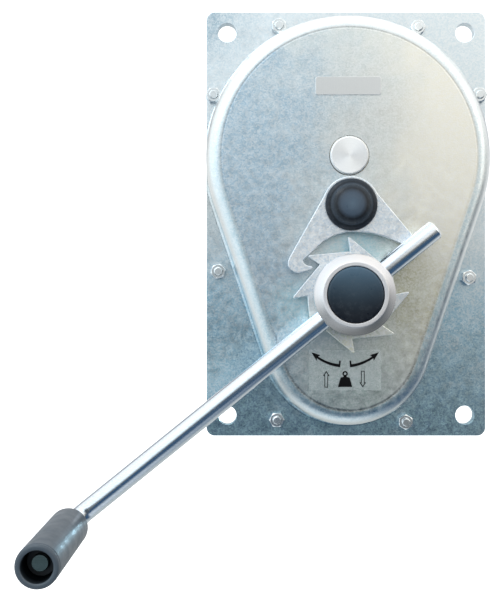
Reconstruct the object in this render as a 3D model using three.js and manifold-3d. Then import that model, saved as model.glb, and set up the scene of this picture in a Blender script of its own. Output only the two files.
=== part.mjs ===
// A plate-mounted hand winch: a crank turns a pinion, the pinion turns a large spur gear, and the gear's
// shaft carries a rope drum behind the plate. A screw-operated friction brake with a ratchet wheel and a
// pawl holds the load when the crank is let go.
//
// Millimetres, +Z up, +X to the operator's right, the operator stands in front at -Y. The origin is the
// middle of the base plate's rear face, which lies on the carrier. Every turning axis is parallel to Y.
import * as THREE from "three";
import { mergeVertices } from "three/addons/utils/BufferGeometryUtils.js";
import Module from "manifold-3d";

const wasm = await Module();
wasm.setup();

// ---------------------------------------------------------------- driving dimensions

const PLATE = { width: 270, height: 410, thickness: 6, corner: 8 };
const SHEET = 3; // the pressed cover's sheet
const COVER = { rise: 30, wall: 17, shoulder: 14, top: 134.5, bottom: 79, bottomZ: -113 };
const MOUNT_HOLE = { x: 115, z: 185, radius: 9 };

const MODULE = 3;
const PRESSURE = THREE.MathUtils.degToRad(20);
const GEAR = { teeth: 76, shift: -0.38, rear: -13, front: -29 };
const PINION = { teeth: 11, shift: 0.38, rear: -10.5, front: -32.5 };
const GEAR_Z = 61.5;
const PINION_Z = GEAR_Z - (MODULE * (GEAR.teeth + PINION.teeth)) / 2;
const BACKLASH = 0.24; // along the pitch circle, on each gear

const MAIN_SHAFT = { radius: 18.2, front: -41.5, rear: 90, collar: 23 };
const DRUM = { barrel: 44, flange: 85, plate: 5, front: 6, rear: 86, boss: 30, bossLength: 20 };
const CLAMP = { radius: 62, width: 34, depth: 15, thickness: 5 };

const JOURNAL_FRONT = 12.5;
const JOURNAL_REAR = 9;
const THREAD = 10; // the pinion shaft's threaded end, which the crank hub screws onto
const PINION_SHAFT_END = -65.8;
const BRAKE = { radius: 35, rear: -41.2, front: -44.7 };
const DISC = { inner: 16.4, outer: 33, thickness: 2.1 };

const RATCHET = { teeth: 8, tip: 53, root: 40, undercut: 2.5, rear: -47, front: -55, firstTip: 3.4 };
const PAWL = { z: 14, eye: 26, bore: 8.4, pin: 8 };
const PAWL_CAP = { radius: 24, step: 18.5, height: 9.8 };

const HUB = { radius: 36.3, face: 29, rear: -57.3, front: -92, boss: 16, bossRear: -45.2 };
const HUB_CAP = { radius: 24.9, thickness: 2.4 };
const ROD = { radius: 9, y: -76, stub: 94, reach: 321.5, bend: 17, slope: 38.9 };
const SPINDLE = { radius: 6.5, end: -203 };
const GRIP = { radius: 17, rear: -94.3, front: -214, recess: 12.2, recessDepth: 17 };

const NUT = { flats: 13, height: 6.5, thread: 4 };
const LABEL = { width: 67.5, height: 38, x: -4, z: -139, thickness: 0.4 };
const BADGE = { width: 61.5, height: 17, x: -1, z: 126.5, thickness: 0.8 };

const CLEAR = 0.3; // running and fitting clearance

// The cover screws: place on the plate, and how far the nut is turned.
const COVER_SCREWS = [
  { x: -65, z: 190.5, turn: 30 },
  { x: 69, z: 189, turn: 0 },
  { x: -128, z: 124, turn: 0 },
  { x: 128, z: 124, turn: 0 },
  { x: -123.5, z: -46, turn: 12 },
  { x: 118, z: -52, turn: 20 },
  { x: -67, z: -189, turn: 0 },
  { x: 57, z: -191, turn: 30 },
];

// ---------------------------------------------------------------- derived positions

const FLANGE_REAR = -PLATE.thickness;
const FLANGE_FRONT = FLANGE_REAR - SHEET;
const FACE = FLANGE_FRONT - COVER.rise; // the cover's flat front
const FACE_INSIDE = FACE + SHEET;
const BUSH_INNER_END = FLANGE_REAR - 2.5;

const FINISH = {
  zinc: { color: 0xb9c2c4, roughness: 0.45, metalness: 0.85 },
  steel: { color: 0xc9ccce, roughness: 0.25, metalness: 1 },
  castSteel: { color: 0x8d9193, roughness: 0.55, metalness: 0.9 },
  bronze: { color: 0xb08a4a, roughness: 0.45, metalness: 0.9 },
  friction: { color: 0x4a4138, roughness: 0.9, metalness: 0 },
  blackPlastic: { color: 0x15181b, roughness: 0.4, metalness: 0 },
  greyPlastic: { color: 0x3a4248, roughness: 0.55, metalness: 0 },
  label: { color: 0xe9ebe8, roughness: 0.35, metalness: 0 },
};

const winch = new THREE.Group();
winch.name = "hand_winch";

// ---------------------------------------------------------------- geometry helpers

const radians = THREE.MathUtils.degToRad;

// A closed geometry as a solid whose faces point outwards.
function solid(geometry) {
  const bare = new THREE.BufferGeometry();
  bare.setAttribute("position", geometry.getAttribute("position"));
  bare.setIndex(geometry.index);
  const merged = mergeVertices(bare, 1e-3);
  const corners = [];
  for (let i = 0; i < merged.index.count; i += 3) {
    const [a, b, c] = [0, 1, 2].map((k) => merged.index.getX(i + k));
    if (a !== b && b !== c && c !== a) corners.push([a, b, c]);
  }
  const vertProperties = merged.attributes.position.array;
  const build = (triangles) =>
    new wasm.Manifold(new wasm.Mesh({ numProp: 3, vertProperties, triVerts: new Uint32Array(triangles) }));
  const body = build(corners.flat());
  return body.volume() > 0 ? body : build(corners.map(([a, b, c]) => [a, c, b]).flat());
}

function join(...bodies) {
  return bodies.reduce((sum, body) => sum.add(body));
}

function cut(body, ...tools) {
  return tools.reduce((rest, tool) => rest.subtract(tool), body);
}

// Points on a circle in the XZ plane, from one angle round to another, anticlockwise seen from the front.
function arc(x, z, radius, segments, from = 0, sweep = 360) {
  const count = sweep === 360 ? segments : segments + 1;
  return Array.from({ length: count }, (_, i) => {
    const angle = radians(from + (sweep * i) / segments);
    return new THREE.Vector2(x + radius * Math.cos(angle), z + radius * Math.sin(angle));
  });
}

// A flat piece: an outline in the XZ plane between two depths. Holes are outlines too.
function slab(outline, rear, front, holes = []) {
  const shape = new THREE.Shape(outline);
  shape.holes = holes.map((points) => new THREE.Path(points));
  const geometry = new THREE.ExtrudeGeometry(shape, { depth: rear - front, bevelEnabled: false });
  return solid(geometry.rotateX(Math.PI / 2).translate(0, rear, 0));
}

// A turned piece about a Y axis at (x, z). The profile is pairs of radius and depth.
function turned(x, z, profile, segments = 28) {
  const points = profile.map(([radius, y]) => new THREE.Vector2(radius, y));
  return solid(new THREE.LatheGeometry(points, segments).translate(x, 0, z));
}

function disc(x, z, radius, rear, front, segments = 28) {
  return slab(arc(x, z, radius, segments), rear, front);
}

function ring(x, z, inner, outer, rear, front, segments = 28) {
  return slab(arc(x, z, outer, segments), rear, front, [arc(x, z, inner, segments)]);
}

function block(width, depth, height, x, y, z) {
  return solid(new THREE.BoxGeometry(width, depth, height).translate(x, y, z));
}

function rectangle(width, height, x = 0, z = 0, corner = 2, steps = 3) {
  const quarters = [
    [1, 1, 0],
    [-1, 1, 90],
    [-1, -1, 180],
    [1, -1, 270],
  ];
  return quarters.flatMap(([sx, sz, from]) =>
    arc(x + sx * (width / 2 - corner), z + sz * (height / 2 - corner), corner, steps, from, 90),
  );
}

// A skin through rings of 3-D points that all have the same count, closed by a flat fan at each end.
function loft(rings) {
  const count = rings[0].length;
  const faces = [];
  for (let r = 0; r + 1 < rings.length; r += 1) {
    for (let i = 0; i < count; i += 1) {
      const next = (i + 1) % count;
      const [a, b] = [r * count + i, r * count + next];
      faces.push(a, b, a + count, b, b + count, a + count);
    }
  }
  const last = (rings.length - 1) * count;
  for (let i = 1; i + 1 < count; i += 1) {
    faces.push(0, i + 1, i, last, last + i, last + i + 1);
  }
  const geometry = new THREE.BufferGeometry().setFromPoints(rings.flat());
  geometry.setIndex(faces);
  return solid(geometry);
}

function hexagon(x, z, flats, turn) {
  return arc(x, z, flats / 2 / Math.cos(radians(30)), 6, turn);
}

// An external circlip: a ring with a gap, in a groove of a shaft.
function circlip(x, z, inner, outer, rear, front, gapAngle = 270) {
  const opening = 24;
  const sweep = 360 - opening;
  const from = gapAngle + opening / 2;
  const outside = arc(x, z, outer, 16, from, sweep);
  const inside = arc(x, z, inner, 16, from, sweep);
  return slab([...outside, ...inside.reverse()], rear, front);
}

function add(name, body, finish) {
  const { vertProperties, triVerts } = body.getMesh();
  const geometry = new THREE.BufferGeometry();
  geometry.setAttribute("position", new THREE.BufferAttribute(vertProperties, 3));
  geometry.setIndex(new THREE.BufferAttribute(triVerts, 1));
  geometry.computeVertexNormals();
  const mesh = new THREE.Mesh(geometry, new THREE.MeshStandardMaterial(FINISH[finish]));
  mesh.name = name;
  winch.add(mesh);
}

// ---------------------------------------------------------------- plate and cover

// The teardrop outline round the two gears, moved inwards by an inset. It is two arcs and their tangents.
function teardrop(inset, y) {
  const spread = GEAR_Z - COVER.bottomZ;
  const tilt = THREE.MathUtils.radToDeg(Math.asin((COVER.top - COVER.bottom) / spread));
  const upper = arc(0, GEAR_Z, COVER.top - inset, 32, -tilt, 180 + 2 * tilt);
  const lower = arc(0, COVER.bottomZ, COVER.bottom - inset, 16, 180 + tilt, 180 - 2 * tilt);
  return [...upper, ...lower].map((p) => new THREE.Vector3(p.x, y, p.y));
}

// The pressing's side: straight wall, rounded shoulder, flat front. Offset inwards it is also the inside.
function pressing(rear, thickness) {
  const wallEnd = FLANGE_FRONT - COVER.wall + (thickness ? 1 : 0);
  const front = FACE + thickness;
  const steps = 3;
  const shoulder = Array.from({ length: steps + 1 }, (_, i) => {
    const angle = (i / steps) * (Math.PI / 2);
    const inset = thickness + COVER.shoulder * (1 - Math.cos(angle));
    return teardrop(inset, wallEnd + (front - wallEnd) * Math.sin(angle));
  });
  return loft([teardrop(thickness, rear), ...shoulder]);
}

function mountHoles(rear, front) {
  const places = [-1, 1].flatMap((sx) => [-1, 1].map((sz) => [sx * MOUNT_HOLE.x, sz * MOUNT_HOLE.z]));
  return places.map(([x, z]) => disc(x, z, MOUNT_HOLE.radius, rear, front, 20));
}

const PLATE_OUTLINE = rectangle(PLATE.width, PLATE.height, 0, 0, PLATE.corner);

function basePlate() {
  const heads = COVER_SCREWS.map(({ x, z }) =>
    turned(x, z, [[0, 1], [9, 1], [NUT.thread + CLEAR, -3.9], [NUT.thread + CLEAR, -7], [0, -7]], 12),
  );
  return cut(
    slab(PLATE_OUTLINE, 0, FLANGE_REAR),
    ...mountHoles(1, -20),
    ...heads,
    disc(0, GEAR_Z, 23 + CLEAR, 1, -20),
    disc(0, PINION_Z, 13 + CLEAR, 1, -20),
  );
}

function frontCover() {
  const outside = join(slab(PLATE_OUTLINE, FLANGE_REAR, FLANGE_FRONT), pressing(FLANGE_REAR, 0));
  return cut(
    outside,
    pressing(FLANGE_REAR + 1, SHEET),
    ...mountHoles(1, -20),
    ...COVER_SCREWS.map(({ x, z }) => disc(x, z, NUT.thread + CLEAR, 1, -20, 12)),
    disc(0, GEAR_Z, MAIN_SHAFT.radius + 2 * CLEAR, 1, -50),
    disc(0, PINION_Z, 15 + CLEAR, 1, -50),
    disc(0, PAWL.z, PAWL.pin + CLEAR, 1, -50),
  );
}

// A countersunk screw from behind the plate; its thread ends just past the nut on the cover's flange.
function coverScrew({ x, z }) {
  const end = FLANGE_FRONT - NUT.height - 2.4;
  const profile = [
    [0, -0.3],
    [7.4, -0.3],
    [NUT.thread, -3.8],
    [NUT.thread, end + 0.8],
    [NUT.thread - 0.8, end],
    [0, end],
  ];
  return turned(x, z, profile, 10);
}

function coverNut({ x, z, turn }) {
  const outline = hexagon(x, z, NUT.flats, turn);
  return slab(outline, FLANGE_FRONT, FLANGE_FRONT - NUT.height, [arc(x, z, NUT.thread + CLEAR, 10)]);
}

function addHousing() {
  add("base_plate", basePlate(), "zinc");
  add("front_cover", frontCover(), "zinc");
  COVER_SCREWS.forEach((place, i) => {
    add(`cover_screw_${i + 1}`, coverScrew(place), "zinc");
    add(`cover_nut_${i + 1}`, coverNut(place), "zinc");
  });
  const label = rectangle(LABEL.width, LABEL.height, LABEL.x, LABEL.z, 1.5, 2);
  const badge = rectangle(BADGE.width, BADGE.height, BADGE.x, BADGE.z, 1.5, 2);
  add("pictogram_label", slab(label, FACE, FACE - LABEL.thickness), "label");
  add("blank_plate", slab(badge, FACE, FACE - BADGE.thickness), "zinc");
}

// A bush that sits in a plate: a sleeve in the hole and a collar against the plate's face.
function bush(z, bore, sleeve, collar, sleeveEnd, plateFace, collarEnd) {
  return turned(0, z, [
    [bore, sleeveEnd],
    [sleeve, sleeveEnd],
    [sleeve, plateFace],
    [collar, plateFace],
    [collar, collarEnd],
    [bore, collarEnd],
    [bore, sleeveEnd],
  ], 24);
}

function addBushes() {
  const mainBore = MAIN_SHAFT.radius + CLEAR;
  add("drum_bush_rear", bush(GEAR_Z, mainBore, 23, 29, -0.3, FLANGE_REAR, BUSH_INNER_END), "bronze");
  add("drum_bush_front", ring(0, GEAR_Z, mainBore, 27, -32, FACE_INSIDE, 28), "bronze");
  const rearBore = JOURNAL_REAR + CLEAR;
  add("pinion_bush_rear", bush(PINION_Z, rearBore, 13, 17, -0.3, FLANGE_REAR, BUSH_INNER_END), "bronze");
  const frontBore = JOURNAL_FRONT + CLEAR;
  add("pinion_bush_front", bush(PINION_Z, frontBore, 15, 19, FACE_INSIDE + 1, FACE, FACE - 1.6), "bronze");
}

// ---------------------------------------------------------------- gears

// The involute function: the angle between a flank's foot and its point at a given pressure angle.
function involute(angle) {
  return Math.tan(angle) - angle;
}

// The outline of a spur gear about (0, z). A tooth's middle points at the angle called phase.
function gearOutline({ teeth, shift }, z, phase, flankSteps) {
  const pitch = (MODULE * teeth) / 2;
  const base = pitch * Math.cos(PRESSURE);
  const tip = pitch + MODULE * (1 + shift) - 0.2;
  const root = pitch - MODULE * (1.25 - shift);
  const thickness = MODULE * (Math.PI / 2 + 2 * shift * Math.tan(PRESSURE)) - BACKLASH;
  const half = (r) => thickness / (2 * pitch) + involute(PRESSURE) - involute(Math.acos(base / r));
  const foot = Math.max(base, root);
  const radii = Array.from({ length: flankSteps + 1 }, (_, i) => foot + ((tip - foot) * i) / flankSteps);
  const flank = radii.map((r) => [r, half(r)]);
  if (root < base) flank.unshift([root, half(base)]);
  const tooth = [...flank.map(([r, a]) => [r, -a]), ...flank.reverse()];
  return Array.from({ length: teeth }, (_, k) => k).flatMap((k) =>
    tooth.map(([r, a]) => {
      const angle = phase + a + (2 * Math.PI * k) / teeth;
      return new THREE.Vector2(r * Math.cos(angle), z + r * Math.sin(angle));
    }),
  );
}

const KEY = { width: 10, height: 8, seat: 14 };

// A parallel key on top of the main shaft, or with a clearance the slot it lies in.
function key(rear, front, clearance = 0) {
  const height = KEY.height + 2 * clearance;
  const z = GEAR_Z + KEY.seat + KEY.height / 2;
  return block(KEY.width + 2 * clearance, rear - front + 2 * clearance, height, 0, (rear + front) / 2, z);
}

const GEAR_KEY = [GEAR.rear - 0.5, GEAR.front + 0.5];
const DRUM_KEY = [DRUM.front + DRUM.bossLength - 1, DRUM.front + 1];

function mainGear() {
  const teeth = slab(gearOutline(GEAR, GEAR_Z, -Math.PI / 2, 1), GEAR.rear, GEAR.front);
  const bore = disc(0, GEAR_Z, MAIN_SHAFT.radius + CLEAR, 0, -40);
  return cut(teeth, bore, key(GEAR.rear + 1, GEAR.front - 1, CLEAR));
}

const GEAR_CLIP = [GEAR.front - 0.3, GEAR.front - 2.1];
const DRUM_CLIP = [DRUM.rear + 2.1, DRUM.rear + 0.3];

// A shaft groove for a circlip, which is a ring cut from the shaft's surface.
function groove(x, z, depthRadius, shaftRadius, [rear, front]) {
  return ring(x, z, depthRadius, shaftRadius + 5, rear + 0.2, front - 0.2);
}

function mainShaft() {
  const { radius, front, rear, collar } = MAIN_SHAFT;
  const body = turned(0, GEAR_Z, [
    [0, front],
    [radius - 1.5, front],
    [radius, front + 1.5],
    [radius, GEAR.rear],
    [collar, GEAR.rear],
    [collar, GEAR.rear + 3],
    [radius, GEAR.rear + 3],
    [radius, rear - 1.5],
    [radius - 1.5, rear],
    [0, rear],
  ]);
  return cut(
    body,
    key(...GEAR_KEY, CLEAR),
    key(...DRUM_KEY, CLEAR),
    groove(0, GEAR_Z, radius - 2, radius, GEAR_CLIP),
    groove(0, GEAR_Z, radius - 2, radius, DRUM_CLIP),
  );
}

function clampHoles(radius) {
  return [-1, 1].map((side) =>
    disc(side * 10, GEAR_Z + CLAMP.radius, radius, DRUM.rear + 10, DRUM.rear - 10, 16),
  );
}

// The rope drum: two flanges on a hollow barrel, with a keyed boss at the plate end.
function ropeDrum() {
  const { barrel, flange, plate, front, rear, boss, bossLength } = DRUM;
  const bore = MAIN_SHAFT.radius + CLEAR;
  const inside = barrel - plate;
  const body = turned(0, GEAR_Z, [
    [bore, front],
    [flange, front],
    [flange, front + plate],
    [barrel, front + plate],
    [barrel, rear - plate],
    [flange, rear - plate],
    [flange, rear],
    [bore, rear],
    [bore, rear - plate],
    [inside, rear - plate],
    [inside, front + plate],
    [boss, front + plate],
    [boss, front + bossLength],
    [bore, front + bossLength],
    [bore, front],
  ], 28);
  const ropeHole = disc(0, GEAR_Z + barrel + 7, 5, rear + 10, rear - 10, 16);
  const keyway = key(front + bossLength + 1, front - 1, CLEAR);
  return cut(body, keyway, ropeHole, ...clampHoles(NUT.thread + CLEAR));
}

// The rope clamp on the drum's outer flange: a bar with a groove for the rope's end.
function ropeClamp() {
  const { radius, width, depth, thickness } = CLAMP;
  const z = GEAR_Z + radius;
  const bar = slab(rectangle(width, depth, 0, z, 3, 2), DRUM.rear + thickness, DRUM.rear);
  const start = arc(0, DRUM.rear, 3.5, 12).map((p) => new THREE.Vector3(p.x, p.y, z - depth));
  const end = start.map((p) => new THREE.Vector3(p.x, p.y, z + depth));
  return cut(bar, loft([start, end]), ...clampHoles(NUT.thread + CLEAR));
}

function clampScrew(side) {
  const x = side * 10;
  const z = GEAR_Z + CLAMP.radius;
  const seat = DRUM.rear + CLAMP.thickness;
  const shank = disc(x, z, NUT.thread, seat, DRUM.rear - DRUM.plate - 2, 12);
  return join(slab(hexagon(x, z, NUT.flats, 30), seat + 5.5, seat), shank);
}

function addDrum() {
  const shaft = MAIN_SHAFT.radius;
  add("main_shaft", mainShaft(), "steel");
  add("main_gear", mainGear(), "castSteel");
  add("gear_key", key(...GEAR_KEY), "steel");
  add("gear_circlip", circlip(0, GEAR_Z, shaft - 1.7, shaft + 4, ...GEAR_CLIP), "steel");
  add("rope_drum", ropeDrum(), "zinc");
  add("drum_key", key(...DRUM_KEY), "steel");
  add("drum_circlip", circlip(0, GEAR_Z, shaft - 1.7, shaft + 4, ...DRUM_CLIP), "steel");
  add("rope_clamp", ropeClamp(), "zinc");
  add("rope_clamp_screw_1", clampScrew(-1), "zinc");
  add("rope_clamp_screw_2", clampScrew(1), "zinc");
}

// ---------------------------------------------------------------- pinion shaft and load brake

function pinionShaft() {
  const phase = Math.PI / 2 + Math.PI / PINION.teeth;
  const teeth = slab(gearOutline(PINION, PINION_Z, phase, 3), PINION.rear, PINION.front);
  const shaft = turned(0, PINION_Z, [
    [0, -0.8],
    [JOURNAL_REAR - 1, -0.8],
    [JOURNAL_REAR, -1.8],
    [JOURNAL_REAR, PINION.rear - 2],
    [JOURNAL_FRONT, PINION.rear - 3],
    [JOURNAL_FRONT, BRAKE.rear],
    [THREAD, BRAKE.rear],
    [THREAD, PINION_SHAFT_END + 1.5],
    [THREAD - 1.5, PINION_SHAFT_END],
    [0, PINION_SHAFT_END],
  ], 24);
  return join(teeth, shaft);
}

// The ratchet wheel's outline: each tooth's blunt side faces anticlockwise and is slightly undercut.
function ratchetOutline() {
  const pitch = 360 / RATCHET.teeth;
  const points = [];
  for (let k = 0; k < RATCHET.teeth; k += 1) {
    const tip = 90 + RATCHET.firstTip + k * pitch;
    points.push(...arc(0, PINION_Z, RATCHET.tip, 1, tip - 1.8, 1.8));
    points.push(...arc(0, PINION_Z, RATCHET.root, 1, tip - RATCHET.undercut, 1.5));
  }
  return points;
}

function ratchetWheel() {
  return slab(ratchetOutline(), RATCHET.rear, RATCHET.front, [arc(0, PINION_Z, DISC.inner, 32)]);
}

function addPinionAndBrake() {
  const rearDisc = ring(0, PINION_Z, DISC.inner, DISC.outer, BRAKE.front, BRAKE.front - DISC.thickness);
  add("pinion_shaft", pinionShaft(), "steel");
  add("brake_flange", ring(0, PINION_Z, THREAD + CLEAR, BRAKE.radius, BRAKE.rear, BRAKE.front), "steel");
  add("friction_disc_rear", rearDisc, "friction");
  add("ratchet_wheel", ratchetWheel(), "zinc");
}

// ---------------------------------------------------------------- pawl

// The anchor-shaped pawl about its pivot: an eye, a hooked arm to the left and a shorter nose to the right.
function pawlOutline() {
  const point = (x, z) => new THREE.Vector2(x, z);
  const shape = new THREE.Shape();
  shape.absarc(0, 0, PAWL.eye, radians(24.6), radians(159.5), false);
  shape.lineTo(-56.7, -48.7);
  shape.splineThru([point(-58.1, -54.3), point(-54.6, -60.7), point(-49.7, -62.8)]);
  shape.lineTo(-37.7, -59.7);
  shape.lineTo(-35.2, -57.9);
  shape.lineTo(-36.3, -56.5);
  shape.splineThru([point(-41.9, -55.1), point(-44.3, -52.2), point(-41.9, -48.7)]);
  shape.lineTo(-37, -44.2);
  shape.splineThru([point(-20.1, -30.4), point(2.5, -24.8), point(33.4, -30.4), point(46.1, -36)]);
  shape.lineTo(58, -46);
  shape.lineTo(64, -37);
  shape.lineTo(55.3, -26.9);
  return shape.extractPoints(3).shape.map((p) => point(p.x, p.y + PAWL.z));
}

// A short torsion spring round the spacer behind the pawl, with a straight leg at each end.
function pawlSpring() {
  const coil = { radius: 15.6, wire: 0.9, turns: 2.5, rear: -40.6, pitch: 2.2 };
  const stations = 45;
  const at = (t) => {
    const angle = t * coil.turns * 2 * Math.PI;
    const x = coil.radius * Math.cos(angle);
    const z = PAWL.z + coil.radius * Math.sin(angle);
    return new THREE.Vector3(x, coil.rear - coil.pitch * coil.turns * t, z);
  };
  const path = Array.from({ length: stations + 1 }, (_, i) => at(i / stations));
  const start = at(0).add(new THREE.Vector3(0, 0, -6));
  const end = at(1).add(new THREE.Vector3(0, 0, -6));
  const curve = new THREE.CatmullRomCurve3([start, ...path, end]);
  const section = new THREE.Shape(arc(0, 0, coil.wire, 5));
  return solid(new THREE.ExtrudeGeometry(section, { extrudePath: curve, steps: 40, bevelEnabled: false }));
}

function pawlPin() {
  const end = -59;
  return cut(
    turned(0, PAWL.z, [
      [0, FACE_INSIDE + 3],
      [12, FACE_INSIDE + 3],
      [12, FACE_INSIDE],
      [PAWL.pin, FACE_INSIDE],
      [PAWL.pin, end + 0.8],
      [PAWL.pin - 0.8, end],
      [0, end],
    ], 20),
    groove(0, PAWL.z, PAWL.pin - 1, PAWL.pin, [-57, -58.2]),
  );
}

// The domed cap over the pivot, with a step between its rim and its crown.
function pawlCap() {
  const rim = RATCHET.front - CLEAR;
  const top = rim - PAWL_CAP.height;
  return turned(0, PAWL.z, [
    [0, top],
    [7, top + 0.3],
    [13, top + 1.2],
    [PAWL_CAP.step - 0.6, top + 3],
    [PAWL_CAP.step, top + 3.8],
    [PAWL_CAP.radius - 2.2, top + 5.2],
    [PAWL_CAP.radius, rim - 2.4],
    [PAWL_CAP.radius, rim],
    [PAWL_CAP.radius - 2.5, rim],
    [PAWL_CAP.radius - 2.7, rim - 2],
    [PAWL_CAP.step - 2.5, top + 6],
    [PAWL_CAP.step - 3, top + 5],
    [0, top + 2.2],
  ], 24);
}

function addPawl() {
  const spacerFront = RATCHET.rear + CLEAR;
  const bore = [arc(0, PAWL.z, PAWL.bore, 24)];
  add("pawl_pin", pawlPin(), "steel");
  add("pawl_spacer", ring(0, PAWL.z, PAWL.bore, 13, FACE, spacerFront, 24), "steel");
  add("pawl_spring", pawlSpring(), "steel");
  add("pawl", slab(pawlOutline(), RATCHET.rear, RATCHET.front, bore), "zinc");
  add("pawl_washer", ring(0, PAWL.z, PAWL.bore, 14, -55.3, -56.7, 24), "zinc");
  add("pawl_circlip", circlip(0, PAWL.z, PAWL.pin - 0.7, PAWL.pin + 3, -57, -58.2), "steel");
  add("pawl_cap", pawlCap(), "blackPlastic");
}

// ---------------------------------------------------------------- crank

// Along the crank rod: outwards to the grip is lower left, and the stub points the other way.
const OUTWARD = new THREE.Vector3(-Math.cos(radians(ROD.slope)), 0, -Math.sin(radians(ROD.slope)));
const FORWARD = new THREE.Vector3(0, -1, 0);
const ROD_MIDDLE = new THREE.Vector3(0, ROD.y, PINION_Z);
const GRIP_AXIS = ROD_MIDDLE.clone().addScaledVector(OUTWARD, ROD.reach);

// A circle of points about a centre, square to a direction.
function hoop(centre, direction, radius, segments = 18) {
  const side = new THREE.Vector3().crossVectors(OUTWARD, FORWARD);
  const other = new THREE.Vector3().crossVectors(direction, side);
  return arc(0, 0, radius, segments).map((p) =>
    centre.clone().addScaledVector(side, p.x).addScaledVector(other, p.y),
  );
}

function alongRod(distance) {
  return ROD_MIDDLE.clone().addScaledVector(OUTWARD, distance);
}

function gripPoint(y) {
  return new THREE.Vector3(GRIP_AXIS.x, y, GRIP_AXIS.z);
}

function rodElbow() {
  const steps = 7;
  return Array.from({ length: steps + 1 }, (_, i) => {
    const angle = (i / steps) * (Math.PI / 2);
    const direction = OUTWARD.clone().multiplyScalar(Math.cos(angle));
    direction.addScaledVector(FORWARD, Math.sin(angle));
    const centre = alongRod(ROD.reach - ROD.bend + ROD.bend * Math.sin(angle));
    centre.addScaledVector(FORWARD, ROD.bend * (1 - Math.cos(angle)));
    return hoop(centre, direction, ROD.radius);
  });
}

// One bar: a stub with a chamfer, the straight arm, the elbow towards the operator and the grip's spindle.
function crankRod() {
  const shoulder = GRIP.rear + 0.6;
  return loft([
    hoop(alongRod(-ROD.stub), OUTWARD, ROD.radius - 2),
    hoop(alongRod(2 - ROD.stub), OUTWARD, ROD.radius),
    ...rodElbow(),
    hoop(gripPoint(shoulder), FORWARD, ROD.radius),
    hoop(gripPoint(shoulder), FORWARD, SPINDLE.radius),
    hoop(gripPoint(SPINDLE.end + 0.8), FORWARD, SPINDLE.radius),
    hoop(gripPoint(SPINDLE.end), FORWARD, SPINDLE.radius - 0.8),
  ]);
}

function crankHub() {
  const { radius, face, rear, front, boss, bossRear } = HUB;
  const pocket = front + HUB_CAP.thickness + 0.7;
  const bore = THREAD + 2 * CLEAR;
  const body = turned(0, PINION_Z, [
    [0, ROD.y + ROD.radius],
    [bore, ROD.y + ROD.radius],
    [bore, bossRear],
    [boss, bossRear],
    [boss, rear],
    [radius - 1, rear],
    [radius, rear - 1],
    [radius, front + radius - face],
    [face, front],
    [HUB_CAP.radius + CLEAR, front],
    [HUB_CAP.radius + CLEAR, pocket],
    [0, pocket],
  ], 32);
  const crossBore = loft([
    hoop(alongRod(-60), OUTWARD, ROD.radius + CLEAR, 24),
    hoop(alongRod(60), OUTWARD, ROD.radius + CLEAR, 24),
  ]);
  return cut(body, crossBore, disc(0, PINION_Z, 5 + CLEAR, ROD.y, front - 1, 16));
}

function gripSleeve() {
  const { radius, rear, front, recess, recessDepth } = GRIP;
  const bore = SPINDLE.radius + CLEAR;
  return turned(GRIP_AXIS.x, GRIP_AXIS.z, [
    [bore, rear],
    [radius - 4, rear],
    [radius - 1.2, rear - 1.2],
    [radius, rear - 4],
    [radius, front + 4],
    [radius - 1.2, front + 1.2],
    [radius - 4, front],
    [recess, front],
    [recess, front + recessDepth],
    [bore, front + recessDepth],
    [bore, rear],
  ], 24);
}

// The push-on washer that keeps the grip on its spindle, at the bottom of the grip's recess.
function gripWasher() {
  const seat = GRIP.front + GRIP.recessDepth - CLEAR;
  return ring(GRIP_AXIS.x, GRIP_AXIS.z, SPINDLE.radius + 0.1, 11, seat, seat - 1.2, 24);
}

function addCrank() {
  const capRear = HUB.front + HUB_CAP.thickness + 0.1;
  const capFront = capRear - HUB_CAP.thickness;
  const frontDisc = ring(0, PINION_Z, DISC.inner, DISC.outer, HUB.rear + DISC.thickness, HUB.rear);
  add("crank_hub", crankHub(), "steel");
  add("friction_disc_front", frontDisc, "friction");
  add("hub_cap", disc(0, PINION_Z, HUB_CAP.radius, capRear, capFront, 40), "blackPlastic");
  add("rod_clamp_screw", disc(0, PINION_Z, 5, ROD.y - ROD.radius - 0.4, capRear + 0.5, 16), "steel");
  add("crank_rod", crankRod(), "steel");
  add("grip_washer", gripWasher(), "castSteel");
  add("crank_grip", gripSleeve(), "greyPlastic");
}

addHousing();
addBushes();
addDrum();
addPinionAndBrake();
addPawl();
addCrank();

export default winch;
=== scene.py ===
"""The looks of a plate-mounted hand winch, built round its CAD frame: fine surfaces, finishes and light."""

import math

import bmesh
import bpy
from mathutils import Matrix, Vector


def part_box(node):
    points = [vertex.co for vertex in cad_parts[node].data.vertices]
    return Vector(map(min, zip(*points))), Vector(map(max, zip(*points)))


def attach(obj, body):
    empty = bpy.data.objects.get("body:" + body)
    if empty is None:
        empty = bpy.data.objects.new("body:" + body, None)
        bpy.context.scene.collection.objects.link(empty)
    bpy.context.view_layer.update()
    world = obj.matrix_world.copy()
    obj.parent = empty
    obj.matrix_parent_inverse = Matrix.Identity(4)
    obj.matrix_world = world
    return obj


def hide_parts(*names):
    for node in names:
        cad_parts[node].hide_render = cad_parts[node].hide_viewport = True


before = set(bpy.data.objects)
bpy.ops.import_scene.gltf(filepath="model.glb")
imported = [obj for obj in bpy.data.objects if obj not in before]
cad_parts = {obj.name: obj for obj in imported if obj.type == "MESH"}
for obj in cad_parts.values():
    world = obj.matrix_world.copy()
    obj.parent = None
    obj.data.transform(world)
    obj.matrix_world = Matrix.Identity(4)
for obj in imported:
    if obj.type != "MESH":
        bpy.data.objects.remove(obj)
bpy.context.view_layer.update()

# ---------------------------------------------------------------- dimensions, in millimetres as in the CAD

MM = 0.001


def span(node, axis):
    """A node's lowest and highest place along an axis at rest, in millimetres to a hundredth."""
    return [round(corner["XYZ".index(axis)] / MM, 2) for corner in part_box(node)]


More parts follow.
